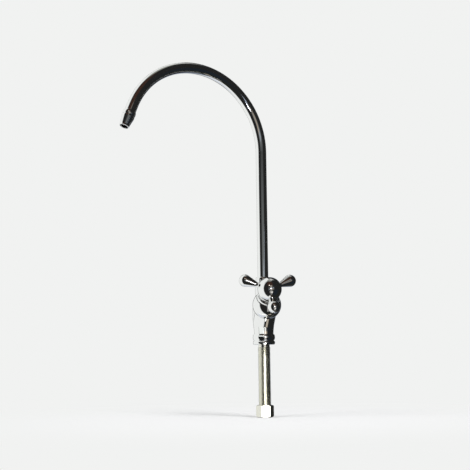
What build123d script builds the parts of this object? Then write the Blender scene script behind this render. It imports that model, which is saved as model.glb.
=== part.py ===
from build123d import *
from math import acos, atan2, cos, radians, sin, tan
import os

# Gooseneck drinking-water tap with a three-arm handle, in millimetres.
# Z is up. The origin is the centre of the base's underside, which seats on the sink or worktop.
# The valve's axis leans forward, towards -Y, and the spout points to the left, a little forward.
# Names that end in _t are distances along the valve's axis from the point where it meets the column's.

# Shank and supply tube
shank_r = 5.55
shank_length = 58.0
shank_depth = 10.0
shank_chamfer = 0.6
shank_bore_step = 0.4
undercut_depth = 0.65
undercut_h = 1.6
supply_tube_r = 3.175
supply_clearance = 0.1

# Coupling nut and ferrule
nut_across_flats = 13.5
nut_turn = -5.6
nut_height = 10.3
nut_floor = 2.0
nut_face_edge = 0.2
nut_chamfer_angle = 30.0
nut_thread_clearance = 0.05
ferrule_height = 2.9
ferrule_nose_wall = 0.75
ferrule_wall = 1.6

# Base seal, collar and column
seal_land = 1.35
seal_width = 1.8
seal_thickness = 1.3
seal_rim = 0.5
collar_bead_bulge = 0.6
collar_groove_depth = 0.4
lower_bead_top = 3.2
upper_bead_bottom = 3.9
collar_top = 8.9
waist_step = 0.7
column_r = 9.6
column_full_z = 23.0
shoulder_start_z = 31.0
shoulder_end_z = 43.0

# Valve chamber, on an axis that leans forward from the column
valve_z = 19.0
valve_lean = 45.0
chamber_r = 7.0
chamber_floor_t = 8.0
root_wall = 2.4
bulge_wall = 5.5
bulge_t = 21.2
mouth_height = 7.2
mouth_fillet = 0.4
inlet_r = 2.6
outlet_r = 2.2

# Seals and discs in the chamber
seat_seal_thickness = 1.2
seat_seal_in_r = 3.6
seat_seal_width = 2.0
disc_thickness = 2.2
disc_gap = 0.02
fixed_disc_clearance = 0.05
moving_disc_clearance = 0.15
port_mid_r = 3.4
port_width = 2.2
port_half_angle = 30.0
slot_depth = 0.7
slot_width = 2.0
slot_edge = 0.6
slot_clearance = 0.05

# Headwork and spindle
housing_wall = 0.75
drive_bar_height = 2.4
spindle_flange_height = 1.2
spindle_flange_clearance = 0.2
washer_thickness = 0.36
washer_float = 0.02
washer_bore_clearance = 0.02
stem_bore_r = 3.5
stem_clearance = 0.06
window_width = 4.4
window_height = 2.4
flange_lip = 1.2
flange_height = 1.0
flange_clearance = 0.05
housing_neck_wall = 1.7
housing_neck_height = 1.2
bonnet_seal_thickness = 0.9
ring_groove_depth = 1.0
ring_groove_width = 1.5
ring_squeeze_gap = 0.03
lower_ring_height = 2.3
ring_spacing = 2.8
clip_groove_depth = 0.54
clip_groove_height = 0.7
clip_thickness = 0.6
clip_side_gap = 0.05
clip_lip = 1.0
clip_opening = 3.0
stem_end_height = 1.3
square_side = 4.8

# Bonnet rings, from the chamber up
bonnet_foot_wall = 0.7
bonnet_foot_height = 1.0
bonnet_foot_clearance = 0.05
bonnet_rim_wall = 0.8
bonnet_rim_height = 1.1
bonnet_dome_height = 1.7
bonnet_dome_bulge = 0.35
bonnet_bead_wall = 3.0
bonnet_bead_height = 1.8
bonnet_bulge = 0.2

# Handle
handle_gap = 0.4
hub_r = 10.4
hub_underside = 5.8
recess_wall_gap = 0.2
recess_depth = 0.6
square_top_drop = 0.9
screw_web = 2.2
screw_r = 1.6
screw_clearance = 0.15
screw_length = 8.0
screw_head_r = 3.2
screw_head_height = 2.0
screw_recess_r = 1.25
screw_recess_depth = 1.2
cap_seam_rise = 5.3
cap_plug_gap = 0.6
cap_plug_wall = 1.2
cap_plug_depth = 1.2
arm_count = 3
arm_first_angle = -90.0
arm_reach = 23.0
arm_neck_r = 2.2
arm_neck_reach = 12.2
arm_flare = 1.1
knob_r = 5.3

# Spout
spout_turn = 203.0
tube_r = 4.75
tube_wall = 1.0
bend_z = 173.9
bend_r = 67.4
bend_sweep = 158.0
tail_length = 6.7

# Spout foot and gland
spigot_shoulder_z = 50.0
spigot_step = 0.78
spigot_float = 0.1
swivel_clearance = 0.07
tenon_height = 6.0
tenon_wall = 0.85
spout_ring_groove_depth = 1.1
spout_ring_groove_width = 1.7
spout_ring_drop = 3.2
bush_float = 0.2
bush_thickness = 1.3
counterbore_step = 0.45
gland_skirt_height = 3.5
gland_clearance = 0.1
gland_lip = 0.45
gland_side_height = 2.6
gland_round = 1.0
gland_round_height = 2.0
neck_wall = 1.15
neck_chamfer = 0.4

# Nozzle
nozzle_bead_wall = 0.8
nozzle_end_wall = 0.45
nozzle_bead_length = 3.8
nozzle_groove_wall = 0.2
nozzle_groove_length = 0.7
nozzle_ridge_wall = 0.75
nozzle_ridge_length = 1.0
nozzle_length = 14.4
nozzle_lip_length = 1.5
nozzle_lip_step = 0.2
nozzle_mouth_bore_r = 3.6
nozzle_mouth_wall = 0.75
nozzle_throat_wall = 0.65
nozzle_throat_depth = 3.0
nozzle_grip = 5.5

# Shank, nut and collar sizes that follow
supply_bore_r = supply_tube_r + supply_clearance
shank_bore_r = supply_bore_r + shank_bore_step
shank_end_z = -shank_length
undercut_r = shank_r - undercut_depth
ferrule_nose_r = supply_bore_r + ferrule_nose_wall
ferrule_cone_r = supply_bore_r + ferrule_wall
nut_floor_z = shank_end_z - ferrule_height
nut_bottom_z = nut_floor_z - nut_floor
nut_top_z = nut_bottom_z + nut_height
nut_bore_r = shank_r + nut_thread_clearance
nut_face_r = nut_across_flats / 2 - nut_face_edge
nut_corner_r = nut_across_flats / 2 / cos(radians(30))
nut_chamfer_h = (nut_corner_r - nut_face_r) * tan(radians(nut_chamfer_angle))
seal_in_r = shank_r + seal_land
seal_out_r = seal_in_r + seal_width
collar_bead_r = seal_out_r + seal_rim
collar_r = collar_bead_r + collar_bead_bulge
collar_groove_r = collar_bead_r - collar_groove_depth
waist_r = collar_bead_r - waist_step

# The valve's axis, and the stack of pieces along it
lean = radians(valve_lean)
valve_up = Vector(0, -sin(lean), cos(lean))
valve_base = Vector(0, 0, valve_z)
valve = Plane(origin=valve_base, x_dir=(1, 0, 0), z_dir=valve_up)
valve_section = Plane(origin=valve_base, x_dir=(1, 0, 0), z_dir=(0, -cos(lean), -sin(lean)))
valve_axis = Axis(valve_base, valve_up)
root_r = chamber_r + root_wall
bulge_r = chamber_r + bulge_wall
mouth_t = bulge_t + mouth_height
fixed_disc_t = chamber_floor_t + seat_seal_thickness
moving_disc_t = fixed_disc_t + disc_thickness + disc_gap
drive_bar_t = moving_disc_t + disc_thickness
outlet_t = drive_bar_t + drive_bar_height / 2
spindle_flange_t = drive_bar_t + drive_bar_height
spindle_flange_top_t = spindle_flange_t + spindle_flange_height
washer_t = spindle_flange_top_t + washer_float
shoulder_t = washer_t + washer_thickness
lower_ring_t = shoulder_t + lower_ring_height
upper_ring_t = lower_ring_t + ring_spacing
flange_top_t = mouth_t - bonnet_foot_height
flange_t = flange_top_t - flange_height
bonnet_seal_t = flange_t - bonnet_seal_thickness
housing_neck_top_t = flange_top_t + housing_neck_height
clip_t = housing_neck_top_t + clip_side_gap
square_start_t = housing_neck_top_t + stem_end_height
bonnet_rim_top_t = mouth_t + bonnet_rim_height
bonnet_dome_top_t = bonnet_rim_top_t + bonnet_dome_height
bonnet_top_t = bonnet_dome_top_t + bonnet_bead_height
hub_bottom_t = bonnet_top_t + handle_gap
hub_t = hub_bottom_t + hub_underside
recess_top_t = hub_bottom_t + recess_depth
square_end_t = hub_t - square_top_drop
screw_seat_t = square_end_t + screw_web
cap_seam_t = hub_t + cap_seam_rise

# Radii along the valve's axis
housing_bore_r = chamber_r - housing_wall
fixed_disc_r = housing_bore_r - fixed_disc_clearance
moving_disc_r = housing_bore_r - moving_disc_clearance
seat_seal_out_r = seat_seal_in_r + seat_seal_width
slot_length = 2 * (moving_disc_r - slot_edge)
spindle_flange_r = housing_bore_r - spindle_flange_clearance
stem_r = stem_bore_r - stem_clearance
flange_r = chamber_r + flange_lip
housing_neck_r = stem_bore_r + housing_neck_wall
clip_groove_r = stem_r - clip_groove_depth
clip_out_r = stem_bore_r + clip_lip
bonnet_foot_r = flange_r + bonnet_foot_wall
bonnet_rim_r = bonnet_foot_r + bonnet_rim_wall
bonnet_bead_r = housing_neck_r + bonnet_bead_wall
bonnet_dome_mid = (
    (bonnet_rim_r + bonnet_bead_r) / 2 + bonnet_dome_bulge,
    (bonnet_rim_top_t + bonnet_dome_top_t) / 2 + bonnet_dome_bulge,
)
recess_r = housing_neck_r + recess_wall_gap
screw_hole_r = screw_r + screw_clearance
cap_plug_bore_r = screw_head_r + cap_plug_gap
cap_plug_r = cap_plug_bore_r + cap_plug_wall

# Spout foot, socket and nozzle sizes that follow from the tube's
spout_plane = Plane(
    origin=(0, 0, 0),
    x_dir=(cos(radians(spout_turn)), sin(radians(spout_turn)), 0),
    z_dir=(sin(radians(spout_turn)), -cos(radians(spout_turn)), 0),
)
outlet_reach = outlet_t * tan(lean)
socket_floor_z = valve_z + outlet_t / cos(lean)
spigot_r = tube_r + spigot_step
socket_r = spigot_r + swivel_clearance
tenon_r = tube_r - tube_wall
spigot_bore_r = tenon_r - tenon_wall
spigot_foot_z = socket_floor_z + spigot_float
upper_spout_ring_z = spigot_shoulder_z - spout_ring_drop
lower_spout_ring_z = upper_spout_ring_z - spout_ring_drop
counterbore_r = socket_r + counterbore_step
counterbore_z = spigot_shoulder_z + bush_float
gland_skirt_z = counterbore_z + bush_thickness
neck_top_z = gland_skirt_z + gland_skirt_height
neck_r = counterbore_r + neck_wall
gland_bore_r = tube_r + gland_clearance
gland_r = counterbore_r + gland_lip
gland_side_top_z = neck_top_z + gland_side_height
gland_top_z = gland_side_top_z + gland_round_height
nozzle_bead_r = tube_r + nozzle_bead_wall
nozzle_end_r = tube_r + nozzle_end_wall
nozzle_groove_r = tube_r + nozzle_groove_wall
nozzle_ridge_r = tube_r + nozzle_ridge_wall
nozzle_groove_end = nozzle_bead_length + nozzle_groove_length
nozzle_ridge_end = nozzle_groove_end + nozzle_ridge_length
nozzle_lip_start = nozzle_length - nozzle_lip_length
nozzle_mouth_r = nozzle_mouth_bore_r + nozzle_mouth_wall
nozzle_throat_r = tenon_r - nozzle_throat_wall
nozzle_throat_top = nozzle_length - nozzle_throat_depth

os.makedirs("parts", exist_ok=True)


def turned_ring(plane, axis, inner_r, outer_r, low, high, mode=Mode.ADD):
    """A plain ring about an axis, with its low and high faces measured along the axis."""
    with BuildSketch(plane) as section:
        with Locations(((inner_r + outer_r) / 2, (low + high) / 2)):
            Rectangle(outer_r - inner_r, high - low)
    revolve(section.sketch, axis=axis, mode=mode)


def round_ring(plane, axis, middle_r, section_r, height):
    """A rubber ring of round section about an axis."""
    with BuildSketch(plane) as section:
        with Locations((middle_r, height)):
            Circle(section_r)
    revolve(section.sketch, axis=axis)


def kidney_ports(plane, depth, turn):
    """Two kidney-shaped ports, cut from a disc that is being built."""
    with BuildSketch(plane) as ports:
        with PolarLocations(0, 2, start_angle=turn):
            SlotArc(
                CenterArc((0, 0), port_mid_r, -port_half_angle, 2 * port_half_angle),
                port_width,
            )
    extrude(ports.sketch, amount=depth, mode=Mode.SUBTRACT)


# Body casting: collar, column, valve chamber and spout socket
with BuildPart() as tap_body:
    with BuildSketch(Plane.XZ):
        with BuildLine():
            Line((0, 0), (collar_bead_r, 0))
            ThreePointArc(
                (collar_bead_r, 0),
                (collar_r, lower_bead_top / 2),
                (collar_bead_r, lower_bead_top),
            )
            Polyline(
                (collar_bead_r, lower_bead_top),
                (collar_groove_r, lower_bead_top),
                (collar_groove_r, upper_bead_bottom),
                (collar_bead_r, upper_bead_bottom),
            )
            ThreePointArc(
                (collar_bead_r, upper_bead_bottom),
                (collar_r, (upper_bead_bottom + collar_top) / 2),
                (collar_bead_r, collar_top),
            )
            Line((collar_bead_r, collar_top), (waist_r, collar_top))
            Spline(
                (waist_r, collar_top),
                (column_r, column_full_z),
                tangents=((0, 1), (0, 1)),
            )
            Line((column_r, column_full_z), (column_r, shoulder_start_z))
            Spline(
                (column_r, shoulder_start_z),
                (neck_r, shoulder_end_z),
                tangents=((0, 1), (0, 1)),
            )
            Polyline(
                (neck_r, shoulder_end_z),
                (neck_r, neck_top_z - neck_chamfer),
                (neck_r - neck_chamfer, neck_top_z),
                (0, neck_top_z),
                (0, 0),
            )
        make_face()
    revolve(axis=Axis.Z)
    # The chamber's outside: a thick root along the valve's axis, and a ball cut flat at its mouth
    with BuildSketch(valve):
        Circle(root_r)
    extrude(amount=bulge_t)
    with BuildSketch(valve_section):
        with Locations((0, bulge_t)):
            Circle(bulge_r)
            Rectangle(bulge_r, 2 * bulge_r, align=(Align.MAX, Align.CENTER), mode=Mode.SUBTRACT)
        with Locations((0, mouth_t)):
            Rectangle(2 * bulge_r, bulge_r, align=(Align.CENTER, Align.MIN), mode=Mode.SUBTRACT)
        fillet(vertices().group_by(Axis.Y)[-1].sort_by(Axis.X)[-1], radius=mouth_fillet)
    revolve(axis=valve_axis)
    # The chamber's bore, the recess for the headwork's seal and flange, and one for the bonnet's foot
    with BuildSketch(valve.offset(chamber_floor_t)):
        Circle(chamber_r)
    extrude(amount=mouth_t - chamber_floor_t, mode=Mode.SUBTRACT)
    with BuildSketch(valve.offset(bonnet_seal_t)):
        Circle(flange_r + flange_clearance)
    extrude(amount=mouth_t - bonnet_seal_t, mode=Mode.SUBTRACT)
    with BuildSketch(valve.offset(flange_top_t)):
        Circle(bonnet_foot_r + bonnet_foot_clearance)
    extrude(amount=bonnet_foot_height, mode=Mode.SUBTRACT)
    # Water comes up the column and turns along the valve's axis to the chamber's floor
    with BuildSketch(Plane.XY):
        Circle(inlet_r)
    extrude(amount=valve_z, mode=Mode.SUBTRACT)
    with Locations(valve_base):
        Sphere(inlet_r, mode=Mode.SUBTRACT)
    with BuildSketch(valve):
        Circle(inlet_r)
    extrude(amount=chamber_floor_t, mode=Mode.SUBTRACT)
    # It leaves by a cross drilling from the chamber's side to the spout's socket
    with BuildSketch(Plane(origin=valve.from_local_coords((0, 0, outlet_t)), z_dir=valve.y_dir)):
        Circle(outlet_r)
    extrude(amount=outlet_reach, mode=Mode.SUBTRACT)
    with Locations((0, 0, socket_floor_z)):
        Sphere(outlet_r, mode=Mode.SUBTRACT)
    # Spout socket, with a wider mouth for the bush and the gland
    with BuildSketch(Plane.XY.offset(socket_floor_z)):
        Circle(socket_r)
    extrude(amount=neck_top_z - socket_floor_z, mode=Mode.SUBTRACT)
    with BuildSketch(Plane.XY.offset(counterbore_z)):
        Circle(counterbore_r)
    extrude(amount=neck_top_z - counterbore_z, mode=Mode.SUBTRACT)
    # Socket for the shank, and the groove for the base seal
    with BuildSketch(Plane.XY):
        Circle(shank_r)
    extrude(amount=shank_depth, mode=Mode.SUBTRACT)
    turned_ring(Plane.XZ, Axis.Z, seal_in_r, seal_out_r, 0, seal_thickness, Mode.SUBTRACT)
tap_body.part.label = "tap_body"
export_step(tap_body.part, "parts/tap_body.step")

# Rubber ring in the base's underside
with BuildPart() as base_seal:
    turned_ring(Plane.XZ, Axis.Z, seal_in_r, seal_out_r, 0, seal_thickness)
base_seal.part.label = "base_seal"
export_step(base_seal.part, "parts/base_seal.step")

# Threaded shank, with a plain undercut below the base and chamfered ends
with BuildPart() as shank:
    with BuildSketch(Plane.XZ):
        with BuildLine():
            Polyline(
                (shank_bore_r, shank_end_z),
                (shank_r - shank_chamfer, shank_end_z),
                (shank_r, shank_end_z + shank_chamfer),
                (shank_r, -undercut_h - shank_chamfer),
                (undercut_r, -undercut_h),
                (undercut_r, 0),
                (shank_r, 0),
                (shank_r, shank_depth - shank_chamfer),
                (shank_r - shank_chamfer, shank_depth),
                (shank_bore_r, shank_depth),
                close=True,
            )
        make_face()
    revolve(axis=Axis.Z)
shank.part.label = "shank"
export_step(shank.part, "parts/shank.step")

# Hexagonal coupling nut, with turned corners
with BuildPart() as coupling_nut:
    with BuildSketch(Plane.XY.offset(nut_bottom_z)):
        RegularPolygon(nut_across_flats / 2, 6, major_radius=False, rotation=nut_turn)
    extrude(amount=nut_height)
    with BuildSketch(Plane.XZ):
        with BuildLine():
            Polyline(
                (0, nut_bottom_z),
                (nut_face_r, nut_bottom_z),
                (nut_corner_r, nut_bottom_z + nut_chamfer_h),
                (nut_corner_r, nut_top_z - nut_chamfer_h),
                (nut_face_r, nut_top_z),
                (0, nut_top_z),
                close=True,
            )
        make_face()
    revolve(axis=Axis.Z, mode=Mode.INTERSECT)
    with BuildSketch(Plane.XY.offset(nut_floor_z)):
        Circle(nut_bore_r)
    extrude(amount=nut_top_z - nut_floor_z, mode=Mode.SUBTRACT)
    with BuildSketch(Plane.XY.offset(nut_bottom_z)):
        Circle(supply_bore_r)
    extrude(amount=nut_floor, mode=Mode.SUBTRACT)
coupling_nut.part.label = "coupling_nut"
export_step(coupling_nut.part, "parts/coupling_nut.step")

# Compression ring between the shank's end and the nut's floor
with BuildPart() as ferrule:
    with BuildSketch(Plane.XZ):
        with BuildLine():
            Polyline(
                (supply_bore_r, nut_floor_z),
                (ferrule_nose_r, nut_floor_z),
                (ferrule_cone_r, (nut_floor_z + shank_end_z) / 2),
                (ferrule_nose_r, shank_end_z),
                (supply_bore_r, shank_end_z),
                close=True,
            )
        make_face()
    revolve(axis=Axis.Z)
ferrule.part.label = "ferrule"
export_step(ferrule.part, "parts/ferrule.step")

# Rubber ring between the chamber's floor and the fixed disc
with BuildPart() as seat_seal:
    turned_ring(
        valve_section,
        valve_axis,
        seat_seal_in_r,
        seat_seal_out_r,
        chamber_floor_t,
        fixed_disc_t,
    )
seat_seal.part.label = "seat_seal"
export_step(seat_seal.part, "parts/seat_seal.step")

# Fixed ceramic disc, whose ports are open along X
with BuildPart() as fixed_disc:
    with BuildSketch(valve.offset(fixed_disc_t)):
        Circle(fixed_disc_r)
    extrude(amount=disc_thickness)
    kidney_ports(valve.offset(fixed_disc_t), disc_thickness, 0)
fixed_disc.part.label = "fixed_disc"
export_step(fixed_disc.part, "parts/fixed_disc.step")

# Moving ceramic disc, with its ports a quarter turn away and a slot for the spindle's bar
with BuildPart() as moving_disc:
    with BuildSketch(valve.offset(moving_disc_t)):
        Circle(moving_disc_r)
    extrude(amount=disc_thickness)
    kidney_ports(valve.offset(moving_disc_t), disc_thickness, 90)
    with BuildSketch(valve.offset(drive_bar_t)):
        Rectangle(slot_length, slot_width)
    extrude(amount=-slot_depth, mode=Mode.SUBTRACT)
moving_disc.part.label = "moving_disc"
export_step(moving_disc.part, "parts/moving_disc.step")

# Headwork: a brass sleeve round the discs, with side windows, a flange and a neck for the spindle
with BuildPart() as cartridge_housing:
    turned_ring(valve_section, valve_axis, housing_bore_r, chamber_r, fixed_disc_t, shoulder_t)
    turned_ring(valve_section, valve_axis, stem_bore_r, chamber_r, shoulder_t, flange_t)
    turned_ring(valve_section, valve_axis, stem_bore_r, flange_r, flange_t, flange_top_t)
    turned_ring(
        valve_section,
        valve_axis,
        stem_bore_r,
        housing_neck_r,
        flange_top_t,
        housing_neck_top_t,
    )
    with Locations(valve.offset(outlet_t)):
        Box(window_width, 3 * chamber_r, window_height, mode=Mode.SUBTRACT)
        Box(3 * chamber_r, window_width, window_height, mode=Mode.SUBTRACT)
cartridge_housing.part.label = "cartridge_housing"
export_step(cartridge_housing.part, "parts/cartridge_housing.step")

# Rubber ring under the headwork's flange
with BuildPart() as bonnet_seal:
    turned_ring(
        valve_section,
        valve_axis,
        chamber_r,
        flange_r,
        bonnet_seal_t,
        flange_t,
    )
bonnet_seal.part.label = "bonnet_seal"
export_step(bonnet_seal.part, "parts/bonnet_seal.step")

# Bonnet: a foot sunk in the chamber's mouth over the headwork's flange, and a stepped neck
with BuildPart() as bonnet:
    with BuildSketch(valve_section):
        with BuildLine():
            Polyline(
                (housing_neck_r, flange_top_t),
                (bonnet_foot_r, flange_top_t),
                (bonnet_foot_r, mouth_t),
                (bonnet_rim_r, mouth_t),
                (bonnet_rim_r, bonnet_rim_top_t),
            )
            ThreePointArc(
                (bonnet_rim_r, bonnet_rim_top_t),
                bonnet_dome_mid,
                (bonnet_bead_r - bonnet_bulge, bonnet_dome_top_t),
            )
            ThreePointArc(
                (bonnet_bead_r - bonnet_bulge, bonnet_dome_top_t),
                (bonnet_bead_r, (bonnet_dome_top_t + bonnet_top_t) / 2),
                (bonnet_bead_r - bonnet_bulge, bonnet_top_t),
            )
            Polyline(
                (bonnet_bead_r - bonnet_bulge, bonnet_top_t),
                (housing_neck_r, bonnet_top_t),
                (housing_neck_r, flange_top_t),
            )
        make_face()
    revolve(axis=valve_axis)
bonnet.part.label = "bonnet"
export_step(bonnet.part, "parts/bonnet.step")

# Spindle: drive bar, flange, stem with two ring grooves, clip groove and square end
with BuildPart() as spindle:
    with BuildSketch(valve.offset(drive_bar_t - slot_depth + slot_clearance)):
        Rectangle(slot_length - 2 * slot_clearance, slot_width - 2 * slot_clearance)
    extrude(amount=drive_bar_height + slot_depth - slot_clearance)
    with BuildSketch(valve.offset(spindle_flange_t)):
        Circle(spindle_flange_r)
    extrude(amount=spindle_flange_height)
    with BuildSketch(valve.offset(spindle_flange_top_t)):
        Circle(stem_r)
    extrude(amount=square_start_t - spindle_flange_top_t)
    with BuildSketch(valve.offset(square_start_t)):
        Rectangle(square_side, square_side)
    extrude(amount=square_end_t - square_start_t)
    with BuildSketch(valve.offset(square_end_t)):
        Circle(screw_r)
    extrude(amount=-(screw_length - screw_web), mode=Mode.SUBTRACT)
    for ring_t in (lower_ring_t, upper_ring_t):
        turned_ring(
            valve_section,
            valve_axis,
            stem_r - ring_groove_depth,
            stem_r + 1,
            ring_t - ring_groove_width / 2,
            ring_t + ring_groove_width / 2,
            Mode.SUBTRACT,
        )
    turned_ring(
        valve_section,
        valve_axis,
        clip_groove_r,
        stem_r + 1,
        housing_neck_top_t,
        housing_neck_top_t + clip_groove_height,
        Mode.SUBTRACT,
    )
spindle.part.label = "spindle"
export_step(spindle.part, "parts/spindle.step")

# Rubber rings in the spindle's grooves
ring_section_r = (stem_bore_r - ring_squeeze_gap - stem_r + ring_groove_depth) / 2
ring_middle_r = stem_r - ring_groove_depth + ring_section_r
with BuildPart() as spindle_ring_lower:
    round_ring(valve_section, valve_axis, ring_middle_r, ring_section_r, lower_ring_t)
spindle_ring_lower.part.label = "spindle_ring_lower"
export_step(spindle_ring_lower.part, "parts/spindle_ring_lower.step")

with BuildPart() as spindle_ring_upper:
    round_ring(valve_section, valve_axis, ring_middle_r, ring_section_r, upper_ring_t)
spindle_ring_upper.part.label = "spindle_ring_upper"
export_step(spindle_ring_upper.part, "parts/spindle_ring_upper.step")

# Slip washer between the spindle's flange and the headwork's shoulder
with BuildPart() as thrust_washer:
    turned_ring(
        valve_section,
        valve_axis,
        stem_bore_r + washer_bore_clearance,
        spindle_flange_r,
        washer_t,
        shoulder_t,
    )
thrust_washer.part.label = "thrust_washer"
export_step(thrust_washer.part, "parts/thrust_washer.step")

# Open spring clip in the spindle's groove, over the end of the headwork's neck
with BuildPart() as spindle_clip:
    with BuildSketch(valve.offset(clip_t)):
        Circle(clip_out_r)
        Circle(clip_groove_r, mode=Mode.SUBTRACT)
        with Locations((0, clip_out_r)):
            Rectangle(clip_opening, 2 * clip_out_r, mode=Mode.SUBTRACT)
    extrude(amount=clip_thickness)
spindle_clip.part.label = "spindle_clip"
export_step(spindle_clip.part, "parts/spindle_clip.step")

# Handle: ball hub with three teardrop arms, in one casting
neck_from_knob = Vector(arm_neck_reach - arm_reach, arm_neck_r)
taper_angle = atan2(neck_from_knob.Y, neck_from_knob.X) - acos(knob_r / neck_from_knob.length)
taper_end = (arm_reach + knob_r * cos(taper_angle), knob_r * sin(taper_angle))
flare_reach = hub_r - arm_flare / 2
with BuildPart() as handle:
    with Locations(valve.offset(hub_t)):
        Sphere(hub_r)
    for index in range(arm_count):
        arm_turn = radians(arm_first_angle + index * 360 / arm_count)
        arm_dir = valve.x_dir * cos(arm_turn) + valve.y_dir * sin(arm_turn)
        arm_plane = Plane(origin=valve.from_local_coords((0, 0, hub_t)), x_dir=arm_dir, z_dir=valve_up)
        with BuildSketch(arm_plane):
            with BuildLine():
                Polyline((0, 0), (0, arm_neck_r + arm_flare), (flare_reach, arm_neck_r + arm_flare))
                Spline(
                    (flare_reach, arm_neck_r + arm_flare),
                    (arm_neck_reach, arm_neck_r),
                    tangents=((0, -1), (1, 0)),
                )
                Line((arm_neck_reach, arm_neck_r), taper_end)
                RadiusArc(taper_end, (arm_reach + knob_r, 0), knob_r)
                Line((arm_reach + knob_r, 0), (0, 0))
            make_face()
        revolve(axis=Axis(arm_plane.origin, arm_dir))
    # Flat underside, recess for the clip, square socket, screw web and cap socket
    with BuildSketch(valve.offset(hub_bottom_t)):
        Circle(hub_r)
    extrude(amount=-hub_r, mode=Mode.SUBTRACT)
    with BuildSketch(valve.offset(hub_bottom_t)):
        Circle(recess_r)
    extrude(amount=recess_top_t - hub_bottom_t, mode=Mode.SUBTRACT)
    with BuildSketch(valve.offset(recess_top_t)):
        Rectangle(square_side, square_side)
    extrude(amount=square_end_t - recess_top_t, mode=Mode.SUBTRACT)
    with BuildSketch(valve.offset(square_end_t)):
        Circle(screw_hole_r)
    extrude(amount=screw_web, mode=Mode.SUBTRACT)
    with BuildSketch(valve.offset(screw_seat_t)):
        Circle(cap_plug_r)
    extrude(amount=hub_r, mode=Mode.SUBTRACT)
    with BuildSketch(valve.offset(cap_seam_t)):
        Circle(hub_r)
    extrude(amount=hub_r, mode=Mode.SUBTRACT)
handle.part.label = "handle"
export_step(handle.part, "parts/handle.step")

# Screw that holds the handle on the spindle's square
with BuildPart() as handle_screw:
    with BuildSketch(valve.offset(screw_seat_t)):
        Circle(screw_r)
    extrude(amount=-screw_length + screw_r / 2)
    with BuildSketch(valve.offset(screw_seat_t)):
        Circle(screw_head_r)
    extrude(amount=screw_head_height)
    with BuildSketch(valve.offset(screw_seat_t + screw_head_height)):
        RegularPolygon(screw_recess_r, 6)
    extrude(amount=-screw_recess_depth, mode=Mode.SUBTRACT)
handle_screw.part.label = "handle_screw"
export_step(handle_screw.part, "parts/handle_screw.step")

# Cap: the top of the ball, with a hollow plug over the screw
with BuildPart() as handle_cap:
    with Locations(valve.offset(hub_t)):
        Sphere(hub_r)
    with BuildSketch(valve.offset(cap_seam_t)):
        Circle(2 * hub_r)
    extrude(amount=-2 * hub_r, mode=Mode.SUBTRACT)
    turned_ring(
        valve_section,
        valve_axis,
        cap_plug_bore_r,
        cap_plug_r,
        cap_seam_t - cap_plug_depth,
        cap_seam_t,
    )
handle_cap.part.label = "handle_cap"
export_step(handle_cap.part, "parts/handle_cap.step")

# Spout foot: a turned spigot with two ring grooves, and a tenon inside the tube
with BuildPart() as spout_spigot:
    turned_ring(Plane.XZ, Axis.Z, spigot_bore_r, spigot_r, spigot_foot_z, spigot_shoulder_z)
    turned_ring(
        Plane.XZ,
        Axis.Z,
        spigot_bore_r,
        tenon_r,
        spigot_shoulder_z,
        spigot_shoulder_z + tenon_height,
    )
    for ring_z in (lower_spout_ring_z, upper_spout_ring_z):
        turned_ring(
            Plane.XZ,
            Axis.Z,
            spigot_r - spout_ring_groove_depth,
            spigot_r + 1,
            ring_z - spout_ring_groove_width / 2,
            ring_z + spout_ring_groove_width / 2,
            Mode.SUBTRACT,
        )
spout_spigot.part.label = "spout_spigot"
export_step(spout_spigot.part, "parts/spout_spigot.step")

# Rubber rings in the spigot's grooves
spout_ring_section_r = (socket_r - ring_squeeze_gap - spigot_r + spout_ring_groove_depth) / 2
spout_ring_middle_r = spigot_r - spout_ring_groove_depth + spout_ring_section_r
with BuildPart() as spout_ring_lower:
    round_ring(Plane.XZ, Axis.Z, spout_ring_middle_r, spout_ring_section_r, lower_spout_ring_z)
spout_ring_lower.part.label = "spout_ring_lower"
export_step(spout_ring_lower.part, "parts/spout_ring_lower.step")

with BuildPart() as spout_ring_upper:
    round_ring(Plane.XZ, Axis.Z, spout_ring_middle_r, spout_ring_section_r, upper_spout_ring_z)
spout_ring_upper.part.label = "spout_ring_upper"
export_step(spout_ring_upper.part, "parts/spout_ring_upper.step")

# Slip bush between the spigot's shoulder and the gland
with BuildPart() as swivel_bush:
    turned_ring(Plane.XZ, Axis.Z, gland_bore_r, counterbore_r, counterbore_z, gland_skirt_z)
swivel_bush.part.label = "swivel_bush"
export_step(swivel_bush.part, "parts/swivel_bush.step")

# Gland: a threaded skirt in the socket's mouth and a rounded collar round the tube
with BuildPart() as spout_gland:
    with BuildSketch(Plane.XZ):
        with BuildLine():
            Polyline(
                (gland_r - gland_round, gland_top_z),
                (gland_bore_r, gland_top_z),
                (gland_bore_r, gland_skirt_z),
                (counterbore_r, gland_skirt_z),
                (counterbore_r, neck_top_z),
                (gland_r, neck_top_z),
                (gland_r, gland_side_top_z),
            )
            EllipticalCenterArc(
                (gland_r - gland_round, gland_side_top_z),
                gland_round,
                gland_round_height,
                start_angle=0,
                arc_size=90,
            )
        make_face()
    revolve(axis=Axis.Z)
spout_gland.part.label = "spout_gland"
export_step(spout_gland.part, "parts/spout_gland.step")

# Gooseneck tube: a straight riser, one round bend and a straight tail
with BuildPart() as spout_tube:
    with BuildLine(spout_plane) as spout_path:
        riser = Line((0, spigot_shoulder_z), (0, bend_z))
        bend = CenterArc((bend_r, bend_z), bend_r, 180, -bend_sweep)
        tail = Line(bend @ 1, (bend @ 1) + (bend % 1) * (tail_length + nozzle_grip))
    with BuildSketch(Plane.XY.offset(spigot_shoulder_z)):
        Circle(tube_r)
        Circle(tenon_r, mode=Mode.SUBTRACT)
    sweep(path=spout_path.wires()[0])
tube_end = tail @ 1
tube_end_dir = tail % 1
spout_tube.part.label = "spout_tube"
export_step(spout_tube.part, "parts/spout_tube.step")

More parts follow.
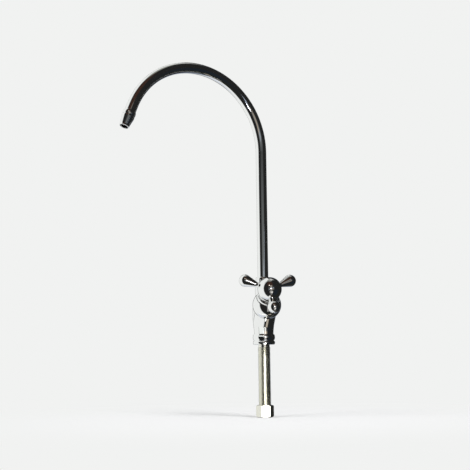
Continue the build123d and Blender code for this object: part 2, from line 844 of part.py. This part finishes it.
# Nozzle: a bead, a groove, a ridge and a cone down to a flared mouth
nozzle_top = tube_end - tube_end_dir * nozzle_grip
nozzle_section = Plane(
    origin=nozzle_top,
    x_dir=spout_plane.z_dir,
    z_dir=spout_plane.z_dir.cross(tube_end_dir),
)
with BuildPart() as spout_nozzle:
    with BuildSketch(nozzle_section):
        with BuildLine():
            Line((tube_r, 0), (nozzle_end_r, 0))
            ThreePointArc(
                (nozzle_end_r, 0),
                (nozzle_bead_r, nozzle_bead_length / 2),
                (nozzle_end_r, nozzle_bead_length),
            )
            Polyline(
                (nozzle_end_r, nozzle_bead_length),
                (nozzle_groove_r, nozzle_bead_length),
                (nozzle_groove_r, nozzle_groove_end),
                (nozzle_ridge_r, nozzle_groove_end),
                (nozzle_ridge_r, nozzle_ridge_end),
                (nozzle_mouth_r - nozzle_lip_step, nozzle_lip_start),
                (nozzle_mouth_r, nozzle_length),
                (nozzle_mouth_bore_r, nozzle_length),
                (nozzle_mouth_bore_r, nozzle_throat_top),
                (nozzle_throat_r, nozzle_throat_top),
                (nozzle_throat_r, nozzle_grip),
                (tube_r, nozzle_grip),
                (tube_r, 0),
            )
        make_face()
    revolve(axis=Axis(nozzle_top, tube_end_dir))
spout_nozzle.part.label = "spout_nozzle"
export_step(spout_nozzle.part, "parts/spout_nozzle.step")
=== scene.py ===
import math

import bmesh
import bpy
from bpy.props import FloatProperty, FloatVectorProperty, IntProperty, PointerProperty
from mathutils import Matrix, Vector


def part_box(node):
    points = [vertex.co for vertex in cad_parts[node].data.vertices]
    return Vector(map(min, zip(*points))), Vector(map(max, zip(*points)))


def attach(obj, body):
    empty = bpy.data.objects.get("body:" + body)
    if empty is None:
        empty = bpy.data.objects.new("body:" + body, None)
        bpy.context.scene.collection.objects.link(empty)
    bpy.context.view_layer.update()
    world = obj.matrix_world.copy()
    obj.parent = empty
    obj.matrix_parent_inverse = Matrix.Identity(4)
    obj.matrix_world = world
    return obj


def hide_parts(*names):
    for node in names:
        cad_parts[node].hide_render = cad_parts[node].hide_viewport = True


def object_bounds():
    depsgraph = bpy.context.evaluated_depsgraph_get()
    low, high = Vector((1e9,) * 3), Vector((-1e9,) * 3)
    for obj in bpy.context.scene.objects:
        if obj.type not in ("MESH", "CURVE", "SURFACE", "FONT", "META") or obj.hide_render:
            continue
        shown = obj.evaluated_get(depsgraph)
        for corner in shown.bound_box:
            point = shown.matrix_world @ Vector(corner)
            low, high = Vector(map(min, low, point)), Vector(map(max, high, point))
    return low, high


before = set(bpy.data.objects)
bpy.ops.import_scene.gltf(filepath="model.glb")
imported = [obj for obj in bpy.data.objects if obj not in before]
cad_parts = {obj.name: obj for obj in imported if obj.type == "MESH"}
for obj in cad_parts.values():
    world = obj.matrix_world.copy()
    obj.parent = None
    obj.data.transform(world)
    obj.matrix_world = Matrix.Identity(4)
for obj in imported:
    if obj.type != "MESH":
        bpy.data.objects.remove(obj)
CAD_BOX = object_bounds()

bl_info = {
    "name": "Drinking-water tap",
    "version": (1, 0, 0),
    "blender": (4, 5, 0),
    "location": "View3D > Sidebar > Tap",
    "description": "Dresses a gooseneck drinking-water tap and its studio",
    "category": "Object",
}

MM = 0.001
INCH = 25.4 * MM

# Nodes that share a finish
CHROME_NODES = (
    "tap_body",
    "bonnet",
    "handle",
    "handle_cap",
    "spout_gland",
    "spout_tube",
    "spout_nozzle",
)
NICKEL_NODES = ("coupling_nut",)
BRASS_NODES = ("cartridge_housing", "spindle", "spout_spigot", "ferrule")
RUBBER_NODES = (
    "base_seal",
    "seat_seal",
    "bonnet_seal",
    "spindle_ring_lower",
    "spindle_ring_upper",
    "spout_ring_lower",
    "spout_ring_upper",
)
CERAMIC_NODES = ("fixed_disc", "moving_disc")
ACETAL_NODES = ("thrust_washer", "swivel_bush")
STAINLESS_NODES = ("spindle_clip", "handle_screw")

# Finer noise that is laid over a material's grain
METAL_DETAIL = 3.0
MOULDED_DETAIL = 4.0

# Sockets of a colour mix, whose names other sockets of the node share
MIX_SHARE = 0
MIX_FIRST = 6
MIX_SECOND = 7
MIX_RESULT = 2


def linear(hex_colour):
    """Turn an sRGB hex colour to linear values."""
    channels = [int(hex_colour[i:i + 2], 16) / 255 for i in (0, 2, 4)]
    return tuple(c / 12.92 if c <= 0.04045 else ((c + 0.055) / 1.055) ** 2.4 for c in channels)


# Camera: the sensor's width in millimetres, and the range that it sees
SENSOR_WIDTH = 36.0
CLIP_START = 0.01
CLIP_END = 20.0

# Floor: from its middle to its sides, its gap below the tap, and where the paper starts to fade, as a
# share of its reach
FLOOR_REACH = 2.5
FLOOR_GAP = 0.3 * MM
PAPER_FADE_START = 0.2

# A place is how far to the camera's right, how far towards it, and how high it lies from the origin.
# Large lamps: the height that they point at, then name, side, power in watts, place
LAMP_AIM_HEIGHT = 0.09
LAMPS = (
    ("key", 0.5, 9.0, (0.7, 0.9, 1.1)),
    ("fill", 0.9, 5.0, (-1.0, 0.5, 0.6)),
)
# Watts for each square metre of a lamp that glows at strength 1
WATTS_PER_GLOW = 4.0
# Strip lamps near the tap: name, glow, places of the lower and upper edges' middles, width, place it faces
STRIP_LAMPS = (
    (
        "right_lamp",
        (9.0, 8.8, 9.2),
        (0.084, 0.390, 0.045),
        (0.084, 0.390, 0.083),
        0.040,
        (0.0, 0.027, 0.047),
    ),
    (
        "spout_strip",
        (0.30, 0.34, 0.43),
        (-0.075, 0.390, -0.035),
        (0.327, 0.390, 0.180),
        0.018,
        (0.0, 0.0, 0.200),
    ),
    (
        "handle_strip",
        (0.28, 0.27, 0.26),
        (0.0156, 0.088, -0.075),
        (0.0156, 0.088, 0.028),
        0.025,
        (0.0156, 0.0, -0.023),
    ),
    (
        "chamber_strip",
        (0.60, 0.59, 0.57),
        (0.030, 0.087, -0.033),
        (0.030, 0.087, 0.015),
        0.017,
        (0.030, 0.0, -0.009),
    ),
    (
        "column_strip",
        (0.78, 0.80, 0.78),
        (-0.0087, 0.0203, 0.0090),
        (-0.0087, 0.0203, 0.0148),
        0.0198,
        (0.002, 0.001, 0.0114),
    ),
    (
        "shank_strip",
        (3.6, 3.6, 3.5),
        (0.0030, 0.020, -0.066),
        (0.0030, 0.020, -0.008),
        0.0095,
        (0.0030, 0.0, -0.037),
    ),
)

# What lights matt surfaces from all round
EVEN_LIGHT = linear("F4F5F6")
EVEN_STRENGTH = 0.72

# What bright metal mirrors. Directions are a side angle from the camera's, to the left below nought, and
# a height angle from the level, both in degrees.
ROOM = linear("242424")
PAPER = linear("FBFCFB")
PAPER_FACES = (28, 1)
PAPER_EDGE = 0.0
PAPER_SOFTNESS = 0.06
# Cards: name, tint, side angles, height angles, softness of the edges
STUDIO_CARDS = (
    ("dark wall, low at the right", linear("1F252C"), (40, 128), (-66, -6), 12.0),
    ("dark wall, behind at the right", linear("242524"), (90, 200), (-56, 66), 13.0),
    ("dark ground", linear("262826"), (-50, 170), (-100, -50), 7.0),
    ("beige board, low at the right", linear("BEB3A4"), (80, 104), (-84, -66), 3.0),
    ("blue paper, behind", linear("A8B2C6"), (168, 220), (-60, 20), 16.0),
    ("pale paper, low behind", linear("DCE1EC"), (-184, -128), (-72, -32), 8.0),
    ("brown curtain, high in front", linear("402C24"), (-34, 34), (34, 70), 9.0),
    ("ceiling", linear("9B9C96"), (-400, 400), (76, 100), 6.0),
    ("grey wall in front", linear("6A6D6D"), (-12, 42), (-6, 12), 6.0),
    ("beige board, above the camera", linear("A8A096"), (3, 24), (17, 32), 4.0),
    ("grey board, below the camera", linear("8C8A86"), (3, 25), (-16, -3), 4.0),
    ("tan edge in front", linear("B8A48C"), (0, 36), (-5, -0.5), 2.0),
    ("blue board in front", linear("9FA6AD"), (3, 25), (-0.5, 6.2), 0.8),
    ("grey edge behind", linear("6A6C6A"), (-181, -156), (-25, 40), 3.0),
    ("small lamp, high in front", (2.6, 2.3, 2.0), (-8, -2), (29, 37), 1.5),
)

# Thread: half a foot's width as a share of the pitch, how deep the foot sinks in the core, the core's
# faces in one turn, and the most corners of the ends that are closed
FOOT_SHARE = 0.46
FOOT_OVERLAP = 0.05 * MM
TUBE_STEPS = 64
END_CORNERS = 6


def add_node(tree, kind, settings=None, links=None):
    """Add a node, set its values by socket name or property, and link its inputs."""
    node = tree.nodes.new(kind)
    for key, value in (settings or {}).items():
        if isinstance(key, int) or key in node.inputs:
            node.inputs[key].default_value = value
        else:
            setattr(node, key, value)
    for key, socket in (links or {}).items():
        tree.links.new(socket, node.inputs[key])
    return node


def new_material(name):
    """A material with an empty tree, its output, and object coordinates."""
    material = bpy.data.materials.new(name)
    material.use_nodes = True
    tree = material.node_tree
    tree.nodes.clear()
    output = add_node(tree, "ShaderNodeOutputMaterial")
    coords = add_node(tree, "ShaderNodeTexCoord").outputs["Object"]
    return material, tree, output, coords


def dress(nodes, material):
    """Give CAD nodes a material in all their slots."""
    for name in nodes:
        for slot in bpy.data.objects[name].material_slots:
            slot.link = "OBJECT"
            slot.material = material


def add_grain(tree, coords, grain_mm, detail):
    """A noise whose grains have a real size."""
    noise = add_node(
        tree,
        "ShaderNodeTexNoise",
        {"Scale": 1 / (grain_mm * MM), "Detail": detail},
        {"Vector": coords},
    )
    return noise.outputs["Fac"]


def add_bump(tree, grain, bump_mm):
    """The surface's direction where a grain stands up by a real height."""
    bump = add_node(
        tree,
        "ShaderNodeBump",
        {"Strength": 1.0, "Distance": bump_mm * MM},
        {"Height": grain},
    )
    return bump.outputs["Normal"]


def metal(name, colour, roughness, spread, grain_mm, bump_mm):
    """A metal with a fine uneven polish: patches of roughness and a faint waviness."""
    material, tree, output, coords = new_material(name)
    patches = add_grain(tree, coords, grain_mm, METAL_DETAIL)
    rough = add_node(
        tree,
        "ShaderNodeMapRange",
        {"To Min": roughness - spread, "To Max": roughness + spread},
        {"Value": patches},
    )
    shader = add_node(
        tree,
        "ShaderNodeBsdfPrincipled",
        {"Base Color": (*colour, 1.0), "Metallic": 1.0},
        {"Roughness": rough.outputs["Result"], "Normal": add_bump(tree, patches, bump_mm)},
    )
    tree.links.new(shader.outputs["BSDF"], output.inputs["Surface"])
    return material


def plain(name, colour, roughness, grain_mm, bump_mm):
    """A moulded or pressed material with a fine grain."""
    material, tree, output, coords = new_material(name)
    grain = add_grain(tree, coords, grain_mm, MOULDED_DETAIL)
    shader = add_node(
        tree,
        "ShaderNodeBsdfPrincipled",
        {"Base Color": (*colour, 1.0), "Roughness": roughness},
        {"Normal": add_bump(tree, grain, bump_mm)},
    )
    tree.links.new(shader.outputs["BSDF"], output.inputs["Surface"])
    return material


class TapFinishes(bpy.types.PropertyGroup):
    chrome: FloatVectorProperty(
        name="Chrome",
        description="Colour of the bright chrome plate",
        subtype="COLOR",
        default=linear("ECEDEC"),
    )
    nickel: FloatVectorProperty(
        name="Satin nickel",
        description="Colour of the satin nickel plate on the shank and nut",
        subtype="COLOR",
        default=linear("E6E5DA"),
    )
    brass: FloatVectorProperty(
        name="Brass",
        description="Colour of the turned brass inside",
        subtype="COLOR",
        default=linear("D9BE7C"),
    )
    rubber: FloatVectorProperty(
        name="Rubber",
        description="Colour of the seals",
        subtype="COLOR",
        default=linear("1E1E20"),
    )
    ceramic: FloatVectorProperty(
        name="Ceramic",
        description="Colour of the valve's discs",
        subtype="COLOR",
        default=linear("EFEBDF"),
    )
    acetal: FloatVectorProperty(
        name="Acetal",
        description="Colour of the slip rings",
        subtype="COLOR",
        default=linear("ECECE8"),
    )
    stainless: FloatVectorProperty(
        name="Stainless steel",
        description="Colour of the clip and the screw",
        subtype="COLOR",
        default=linear("C9C8C6"),
    )


class TapThread(bpy.types.PropertyGroup):
    pitch: FloatProperty(
        name="Pitch",
        description="Distance from one thread to the next",
        default=INCH / 24,
        unit="LENGTH",
    )
    depth: FloatProperty(
        name="Depth",
        description="Height of a thread from its root",
        default=0.6 * MM,
        unit="LENGTH",
    )
    crest: FloatProperty(
        name="Crest",
        description="Width of the flat on a thread's top",
        default=0.16 * MM,
        unit="LENGTH",
    )
    bore: FloatProperty(
        name="Bore",
        description="Radius of the shank's bore",
        default=3.675 * MM,
        unit="LENGTH",
    )
    undercut_depth: FloatProperty(
        name="Undercut's depth",
        description="How deep the plain groove below the base is cut",
        default=0.65 * MM,
        unit="LENGTH",
    )
    undercut_height: FloatProperty(
        name="Undercut's height",
        description="How far the plain groove reaches down from the base",
        default=1.6 * MM,
        unit="LENGTH",
    )
    steps: IntProperty(
        name="Steps",
        description="Faces in one turn",
        default=40,
        min=12,
    )


class TapStudio(bpy.types.PropertyGroup):
    azimuth: FloatProperty(
        name="Azimuth",
        description="Where the camera stands round the tap",
        default=math.radians(-9.9),
        subtype="ANGLE",
    )
    elevation: FloatProperty(
        name="Elevation",
        description="How far the camera stands above the tap's middle",
        default=math.radians(-8.2),
        subtype="ANGLE",
    )
    roll: FloatProperty(
        name="Roll",
        description="Turn of the camera about its own line of sight",
        default=math.radians(-0.65),
        subtype="ANGLE",
    )
    distance: FloatProperty(
        name="Distance",
        description="From the camera to the tap's middle",
        default=0.8,
        unit="LENGTH",
    )
    lens: FloatProperty(
        name="Lens",
        description="Focal length of the camera",
        default=68.06,
        min=1.0,
    )
    aim_side: FloatProperty(
        name="Aim to the side",
        description="How far left of the column the camera aims",
        default=24.6 * MM,
        unit="LENGTH",
    )
    aim_height: FloatProperty(
        name="Aim height",
        description="Height that the camera aims at",
        default=98.2 * MM,
        unit="LENGTH",
    )
    floor: FloatVectorProperty(
        name="Floor",
        description="Colour of the paper that the tap stands on",
        subtype="COLOR",
        default=linear("E7E7E7"),
    )
    paper_reach: FloatProperty(
        name="Paper's reach",
        description="How far from the tap the paper turns to plain backdrop",
        default=0.3,
        unit="LENGTH",
    )
    backdrop: FloatVectorProperty(
        name="Backdrop",
        description="Colour behind the tap",
        subtype="COLOR",
        default=linear("F1F2F1"),
    )


def studio_axes(studio):
    """The camera's right, and the level direction to the camera."""
    right = Vector((math.cos(studio.azimuth), math.sin(studio.azimuth), 0))
    level = Vector((math.sin(studio.azimuth), -math.cos(studio.azimuth), 0))
    return right, level


def studio_place(studio, place):
    """A point from its way to the camera's right, its way towards the camera, and its height."""
    right, level = studio_axes(studio)
    return right * place[0] + level * place[1] + Vector((0, 0, place[2]))


def direction(studio, side, height):
    """The way that a side angle and a height angle point, in degrees from the camera's level one."""
    right, level = studio_axes(studio)
    turn = math.radians(side)
    climb = math.radians(height)
    flat = level * math.cos(turn) + right * math.sin(turn)
    return flat * math.cos(climb) + Vector((0, 0, math.sin(climb)))


def along(tree, ray, way):
    """How far a ray goes along a direction."""
    product = add_node(
        tree,
        "ShaderNodeVectorMath",
        {"operation": "DOT_PRODUCT", 1: way},
        {0: ray},
    )
    return product.outputs["Value"]


def degrees(tree, angle):
    """An angle in degrees."""
    return add_node(tree, "ShaderNodeMath", {"operation": "DEGREES"}, {0: angle}).outputs["Value"]


def soft_step(tree, value, start, end, settings=None):
    """Nought before a range of a value and one after it, unless the settings say otherwise."""
    step = add_node(
        tree,
        "ShaderNodeMapRange",
        {"interpolation_type": "SMOOTHSTEP", "From Min": start, "From Max": end, **(settings or {})},
        {"Value": value},
    )
    return step.outputs["Result"]


def multiply(tree, first, second):
    """The product of two values."""
    product = add_node(tree, "ShaderNodeMath", {"operation": "MULTIPLY"}, {0: first, 1: second})
    return product.outputs["Value"]


def window(tree, value, low, high, soft):
    """One inside a range of a value and nought outside it, with soft edges."""
    rise = soft_step(tree, value, low - soft, low + soft)
    fall = soft_step(tree, value, high - soft, high + soft, {"To Min": 1.0, "To Max": 0.0})
    return multiply(tree, rise, fall)


def add_card(tree, colour, side, height, card):
    """Lay a card of one colour over the studio, between two side and two height angles."""
    name, tint, sides, heights, soft = card
    mask = multiply(tree, window(tree, side, *sides, soft), window(tree, height, *heights, soft))
    mix = add_node(
        tree,
        "ShaderNodeMix",
        {"data_type": "RGBA", "label": name, MIX_SECOND: (*tint, 1.0)},
        {MIX_SHARE: mask, MIX_FIRST: colour},
    )
    return mix.outputs[MIX_RESULT]


def add_lamp(name, place, turn):
    """An area lamp at a place, turned by a matrix whose third column points away from what it lights."""
    lamp = bpy.data.objects.new(name, bpy.data.lights.new(name, "AREA"))
    bpy.context.collection.objects.link(lamp)
    lamp.matrix_world = Matrix.Translation(place) @ turn.to_4x4()
    return lamp


def finish_mesh(bm, name, material):
    """Turn a bmesh to an object at the origin, with a material."""
    mesh = bpy.data.meshes.new(name)
    bm.to_mesh(mesh)
    bm.free()
    mesh.materials.append(material)
    piece = bpy.data.objects.new(name, mesh)
    bpy.context.collection.objects.link(piece)
    return piece


class TAP_OT_studio(bpy.types.Operator):
    """Set the camera, the floor and the light"""

    bl_idname = "tap.studio"
    bl_label = "Studio"

    def execute(self, context):
        studio = context.scene.tap_studio
        self.add_camera(context, studio)
        self.add_floor(studio)
        self.add_lamps(studio)
        self.add_strip_lamps(studio)
        self.light_world(context, studio)
        context.scene.view_settings.view_transform = "Standard"
        return {"FINISHED"}

    def add_camera(self, context, studio):
        right, level = studio_axes(studio)
        back = level * math.cos(studio.elevation) + Vector((0, 0, math.sin(studio.elevation)))
        aim = Vector((0, 0, studio.aim_height)) - right * studio.aim_side
        data = bpy.data.cameras.new("camera")
        data.lens = studio.lens
        data.sensor_width = SENSOR_WIDTH
        data.clip_start = CLIP_START
        data.clip_end = CLIP_END
        camera = bpy.data.objects.new("camera", data)
        context.collection.objects.link(camera)
        turn = back.to_track_quat("Z", "Y").to_matrix().to_4x4()
        roll = Matrix.Rotation(studio.roll, 4, "Z")
        camera.matrix_world = Matrix.Translation(aim + back * studio.distance) @ turn @ roll
        context.scene.camera = camera

    def add_floor(self, studio):
        # Uncoated paper: even and matt, and as light as the backdrop where it runs out of sight
        material, tree, output, coords = new_material("matt_white_paper")
        paper = add_node(
            tree,
            "ShaderNodeBsdfDiffuse",
            {"Color": (*studio.floor, 1.0), "Roughness": 1.0},
        )
        faded = add_node(
            tree,
            "ShaderNodeEmission",
            {"Color": (*studio.backdrop, 1.0), "Strength": 1.0},
        )
        reach = add_node(tree, "ShaderNodeVectorMath", {"operation": "LENGTH"}, {0: coords})
        fade = soft_step(
            tree,
            reach.outputs["Value"],
            studio.paper_reach * PAPER_FADE_START,
            studio.paper_reach,
        )
        mix = add_node(
            tree,
            "ShaderNodeMixShader",
            {},
            {0: fade, 1: paper.outputs["BSDF"], 2: faded.outputs["Emission"]},
        )
        tree.links.new(mix.outputs["Shader"], output.inputs["Surface"])
        bm = bmesh.new()
        bmesh.ops.create_grid(bm, x_segments=1, y_segments=1, size=FLOOR_REACH)
        bmesh.ops.translate(bm, vec=(0, 0, CAD_BOX[0][2] - FLOOR_GAP), verts=bm.verts)
        floor = finish_mesh(bm, "floor", material)
        floor.visible_glossy = False

    def add_lamps(self, studio):
        """Large soft lamps that point at the tap's middle, which metal doesn't mirror."""
        for name, side, power, place in LAMPS:
            stand = studio_place(studio, place)
            away = stand - Vector((0, 0, LAMP_AIM_HEIGHT))
            lamp = add_lamp(name, stand, away.to_track_quat("Z", "Y").to_matrix())
            lamp.data.size = side
            lamp.data.energy = power
            lamp.visible_glossy = False

    def add_strip_lamps(self, studio):
        """Small strip lamps near the tap, which only bright metal mirrors."""
        for name, glow, lower, upper, width, faces in STRIP_LAMPS:
            low = studio_place(studio, lower)
            high = studio_place(studio, upper)
            middle = (low + high) / 2
            upward = (high - low).normalized()
            aside = upward.cross(middle - studio_place(studio, faces)).normalized()
            turn = Matrix((aside, upward, aside.cross(upward))).transposed()
            lamp = add_lamp(name, middle, turn)
            strongest = max(glow)
            data = lamp.data
            data.shape = "RECTANGLE"
            data.size = width
            data.size_y = (high - low).length
            data.color = [channel / strongest for channel in glow]
            data.energy = strongest * data.size * data.size_y * WATTS_PER_GLOW
            lamp.visible_camera = False
            lamp.visible_diffuse = False

    def light_world(self, context, studio):
        world = bpy.data.worlds.new("studio")
        context.scene.world = world
        world.use_nodes = True
        tree = world.node_tree
        tree.nodes.clear()
        right, level = studio_axes(studio)
        ray = add_node(tree, "ShaderNodeTexCoord").outputs["Generated"]
        across = along(tree, ray, right)
        toward = along(tree, ray, level)
        turn = add_node(tree, "ShaderNodeMath", {"operation": "ARCTAN2"}, {0: across, 1: toward})
        side = degrees(tree, turn.outputs["Value"])
        rise = add_node(tree, "ShaderNodeSeparateXYZ", {}, {0: ray}).outputs["Z"]
        climb = add_node(tree, "ShaderNodeMath", {"operation": "ARCSINE"}, {0: rise})
        height = degrees(tree, climb.outputs["Value"])
        # What bright metal mirrors: a dark room on the side that the paper faces, white paper on the
        # other, and cards
        facing = along(tree, ray, direction(studio, *PAPER_FACES))
        edge = soft_step(tree, facing, PAPER_EDGE - PAPER_SOFTNESS, PAPER_EDGE + PAPER_SOFTNESS)
        room = add_node(
            tree,
            "ShaderNodeMix",
            {"data_type": "RGBA", MIX_FIRST: (*PAPER, 1.0), MIX_SECOND: (*ROOM, 1.0)},
            {MIX_SHARE: edge},
        )
        colour = room.outputs[MIX_RESULT]
        for card in STUDIO_CARDS:
            colour = add_card(tree, colour, side, height, card)
        mirrored = add_node(tree, "ShaderNodeBackground", {"Strength": 1.0}, {"Color": colour})
        # What the camera sees behind the tap, and what lights matt surfaces
        backdrop = add_node(
            tree,
            "ShaderNodeBackground",
            {"Color": (*studio.backdrop, 1.0), "Strength": 1.0},
        )
        even = add_node(
            tree,
            "ShaderNodeBackground",
            {"Color": (*EVEN_LIGHT, 1.0), "Strength": EVEN_STRENGTH},
        )
        path = add_node(tree, "ShaderNodeLightPath")
        glossy = add_node(
            tree,
            "ShaderNodeMixShader",
            {},
            {0: path.outputs["Is Glossy Ray"], 1: even.outputs[0], 2: mirrored.outputs[0]},
        )
        seen = add_node(
            tree,
            "ShaderNodeMixShader",
            {},
            {0: path.outputs["Is Camera Ray"], 1: glossy.outputs[0], 2: backdrop.outputs[0]},
        )
        add_node(tree, "ShaderNodeOutputWorld", {}, {"Surface": seen.outputs[0]})


class TAP_OT_chrome(bpy.types.Operator):
    """Plate the body, handle, bonnet and spout with bright chrome"""

    bl_idname = "tap.chrome"
    bl_label = "Chrome plate"

    def execute(self, context):
        # Bright chrome on polished brass: almost a mirror, with faint wiping marks
        material = metal(
            "bright_chrome_plate",
            context.scene.tap_finishes.chrome,
            roughness=0.045,
            spread=0.02,
            grain_mm=6.0,
            bump_mm=0.004,
        )
        dress(CHROME_NODES, material)
        return {"FINISHED"}


class TAP_OT_thread(bpy.types.Operator):
    """Cut the shank's thread and give the shank and nut their satin nickel plate"""

    bl_idname = "tap.thread"
    bl_label = "Threaded shank"

    def execute(self, context):
        # Satin nickel on turned brass: warm grey, with a wide soft gleam
        material = metal(
            "satin_nickel_plate",
            context.scene.tap_finishes.nickel,
            roughness=0.26,
            spread=0.05,
            grain_mm=0.8,
            bump_mm=0.01,
        )
        dress(NICKEL_NODES, material)
        low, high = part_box("shank")
        shank = self.cut_thread(context.scene.tap_thread, low, high, material)
        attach(shank, "fixed_body")
        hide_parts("shank")
        return {"FINISHED"}

    def cut_thread(self, thread, low, high, material):
        outer = (high[0] - low[0]) / 2
        root = outer - thread.depth
        undercut = -thread.undercut_height
        bm = bmesh.new()
        # Core: a tube at the thread's root, the undercut below the base, and a plain end inside it
        self.add_tube(bm, thread.bore, root, low[2], undercut)
        self.add_tube(bm, thread.bore, outer - thread.undercut_depth, undercut, 0.0)
        self.add_tube(bm, thread.bore, outer, 0.0, high[2])
        # One thread's section, turned about the shank as it climbs
        half = thread.pitch * FOOT_SHARE
        top = thread.crest / 2
        foot = root - FOOT_OVERLAP
        start = low[2] + half
        turns = (undercut - half - start) / thread.pitch
        steps = int(turns * thread.steps)
        section = ((foot, -half), (outer, -top), (outer, top), (foot, half))
        face = bm.faces.new([bm.verts.new((radius, 0, start + rise)) for radius, rise in section])
        bmesh.ops.spin(
            bm,
            geom=[face],
            cent=(0, 0, 0),
            axis=(0, 0, 1),
            dvec=(0, 0, thread.pitch / thread.steps),
            angle=math.tau * steps / thread.steps,
            steps=steps,
            use_duplicate=False,
        )
        open_edges = [edge for edge in bm.edges if edge.is_boundary]
        bmesh.ops.holes_fill(bm, edges=open_edges, sides=END_CORNERS)
        bmesh.ops.recalc_face_normals(bm, faces=bm.faces)
        return finish_mesh(bm, "threaded_shank", material)

    def add_tube(self, bm, inner, outer, low, high):
        corners = ((inner, low), (outer, low), (outer, high), (inner, high))
        ring = [bm.verts.new((radius, 0, height)) for radius, height in corners]
        edges = [bm.edges.new(ends) for ends in zip(ring, ring[1:] + ring[:1])]
        bmesh.ops.spin(
            bm,
            geom=edges,
            cent=(0, 0, 0),
            axis=(0, 0, 1),
            angle=math.tau,
            steps=TUBE_STEPS,
            use_merge=True,
        )


class TAP_OT_inner(bpy.types.Operator):
    """Give the inner pieces their brass, rubber, ceramic, acetal and steel"""

    bl_idname = "tap.inner"
    bl_label = "Inner pieces"

    def execute(self, context):
        finishes = context.scene.tap_finishes
        # Turned brass: warm, with fine tool marks
        brass = metal(
            "turned_brass",
            finishes.brass,
            roughness=0.24,
            spread=0.06,
            grain_mm=0.5,
            bump_mm=0.01,
        )
        dress(BRASS_NODES, brass)
        # Stamped stainless steel: bright, with a short grain
        stainless = metal(
            "bright_stainless_steel",
            finishes.stainless,
            roughness=0.2,
            spread=0.05,
            grain_mm=1.0,
            bump_mm=0.01,
        )
        dress(STAINLESS_NODES, stainless)
        # Moulded nitrile rubber: black and dull
        rubber = plain(
            "moulded_nitrile_rubber",
            finishes.rubber,
            roughness=0.55,
            grain_mm=0.4,
            bump_mm=0.02,
        )
        dress(RUBBER_NODES, rubber)
        # Lapped alumina: off-white and smooth
        ceramic = plain(
            "lapped_alumina",
            finishes.ceramic,
            roughness=0.22,
            grain_mm=0.3,
            bump_mm=0.004,
        )
        dress(CERAMIC_NODES, ceramic)
        # Turned acetal: white, with a low sheen
        acetal = plain(
            "turned_acetal",
            finishes.acetal,
            roughness=0.42,
            grain_mm=0.5,
            bump_mm=0.01,
        )
        dress(ACETAL_NODES, acetal)
        return {"FINISHED"}


class TAP_PT_tools(bpy.types.Panel):
    bl_idname = "TAP_PT_tools"
    bl_label = "Drinking-water tap"
    bl_space_type = "VIEW_3D"
    bl_region_type = "UI"
    bl_category = "Tap"

    def draw(self, context):
        for operator in OPERATORS:
            self.layout.operator(operator.bl_idname)


GROUPS = (TapFinishes, TapThread, TapStudio)
OPERATORS = (TAP_OT_studio, TAP_OT_chrome, TAP_OT_thread, TAP_OT_inner)


def register():
    for cls in GROUPS + OPERATORS + (TAP_PT_tools,):
        bpy.utils.register_class(cls)
    bpy.types.Scene.tap_finishes = PointerProperty(type=TapFinishes)
    bpy.types.Scene.tap_thread = PointerProperty(type=TapThread)
    bpy.types.Scene.tap_studio = PointerProperty(type=TapStudio)


def unregister():
    del bpy.types.Scene.tap_studio
    del bpy.types.Scene.tap_thread
    del bpy.types.Scene.tap_finishes
    for cls in reversed(GROUPS + OPERATORS + (TAP_PT_tools,)):
        bpy.utils.unregister_class(cls)


def main():
    register()
    bpy.ops.tap.studio()
    bpy.ops.tap.chrome()
    bpy.ops.tap.thread()
    bpy.ops.tap.inner()


if __name__ == "__main__":
    main()
